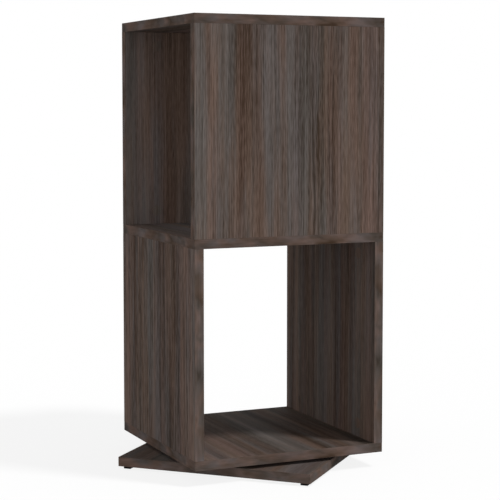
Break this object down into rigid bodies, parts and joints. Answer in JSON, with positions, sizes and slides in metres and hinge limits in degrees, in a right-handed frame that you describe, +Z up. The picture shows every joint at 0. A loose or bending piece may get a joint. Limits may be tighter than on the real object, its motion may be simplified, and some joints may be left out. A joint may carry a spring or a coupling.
{
  "type": "revolving bookcase",
  "caption": "Free-standing square bookcase with open tiers set crosswise; the whole case turns without limit on a ball-bearing swivel above a flat square base on small square feet.",
  "frame": {"origin": "on the floor, on the axis that the case turns about, under the centre of the base", "axes": "+Z up along the turning axis; the case is square to X and Y, with the closed front of the upper tier facing -Y; the base is turned by 45 degrees"},
  "size_m": [0.4872, 0.4872, 0.765],
  "materials": {
    "laminate": "satin smoked oak print on chipboard",
    "edging": "satin smoked oak print",
    "cover_foil": "satin smoked oak print",
    "zinc_plate": "bright zinc plating",
    "zinc_cast": "dull die-cast zinc",
    "ball_steel": "polished",
    "cage_nylon": "natural nylon",
    "beech": "plain turned beech",
    "black_plastic": "moulded, matt"
  },
  "bodies": {
    "base": {"base_board": "laminate", "base_board_edging": "edging", "swivel_lower_plate": "zinc_plate", "swivel_lower_screws": "zinc_plate", "swivel_rivet": "zinc_plate", "access_plug": "black_plastic", "foot_front": "black_plastic", "foot_back": "black_plastic", "foot_left": "black_plastic", "foot_right": "black_plastic", "foot_nails": "zinc_plate"},
    "ball_ring": {"swivel_balls": "ball_steel", "ball_cage": "cage_nylon"},
    "case": {"top_board": "laminate", "top_board_edging": "edging", "middle_board": "laminate", "middle_board_edging": "edging", "bottom_board": "laminate", "bottom_board_edging": "edging", "upper_front_panel": "laminate", "upper_front_panel_edging": "edging", "upper_back_panel": "laminate", "upper_back_panel_edging": "edging", "lower_left_panel": "laminate", "lower_left_panel_edging": "edging", "lower_right_panel": "laminate", "lower_right_panel_edging": "edging", "cam_bolts": "zinc_plate", "cam_locks": "zinc_cast", "cam_covers": "cover_foil", "wood_dowels": "beech", "swivel_upper_plate": "zinc_plate", "swivel_upper_screws": "zinc_plate"}
  },
  "joints": [
    {"name": "case_turn", "type": "hinge", "parent": "base", "child": "case", "pos_m": [0, 0, 0.024], "axis": [0, 0, 1], "continuous": true},
    {"name": "ball_ring_turn", "type": "hinge", "parent": "base", "child": "ball_ring", "pos_m": [0, 0, 0.024], "axis": [0, 0, 1], "continuous": true}
  ],
  "couplings": [
    {"joint": "ball_ring_turn", "follows": "case_turn", "ratio": 0.5}
  ]
}
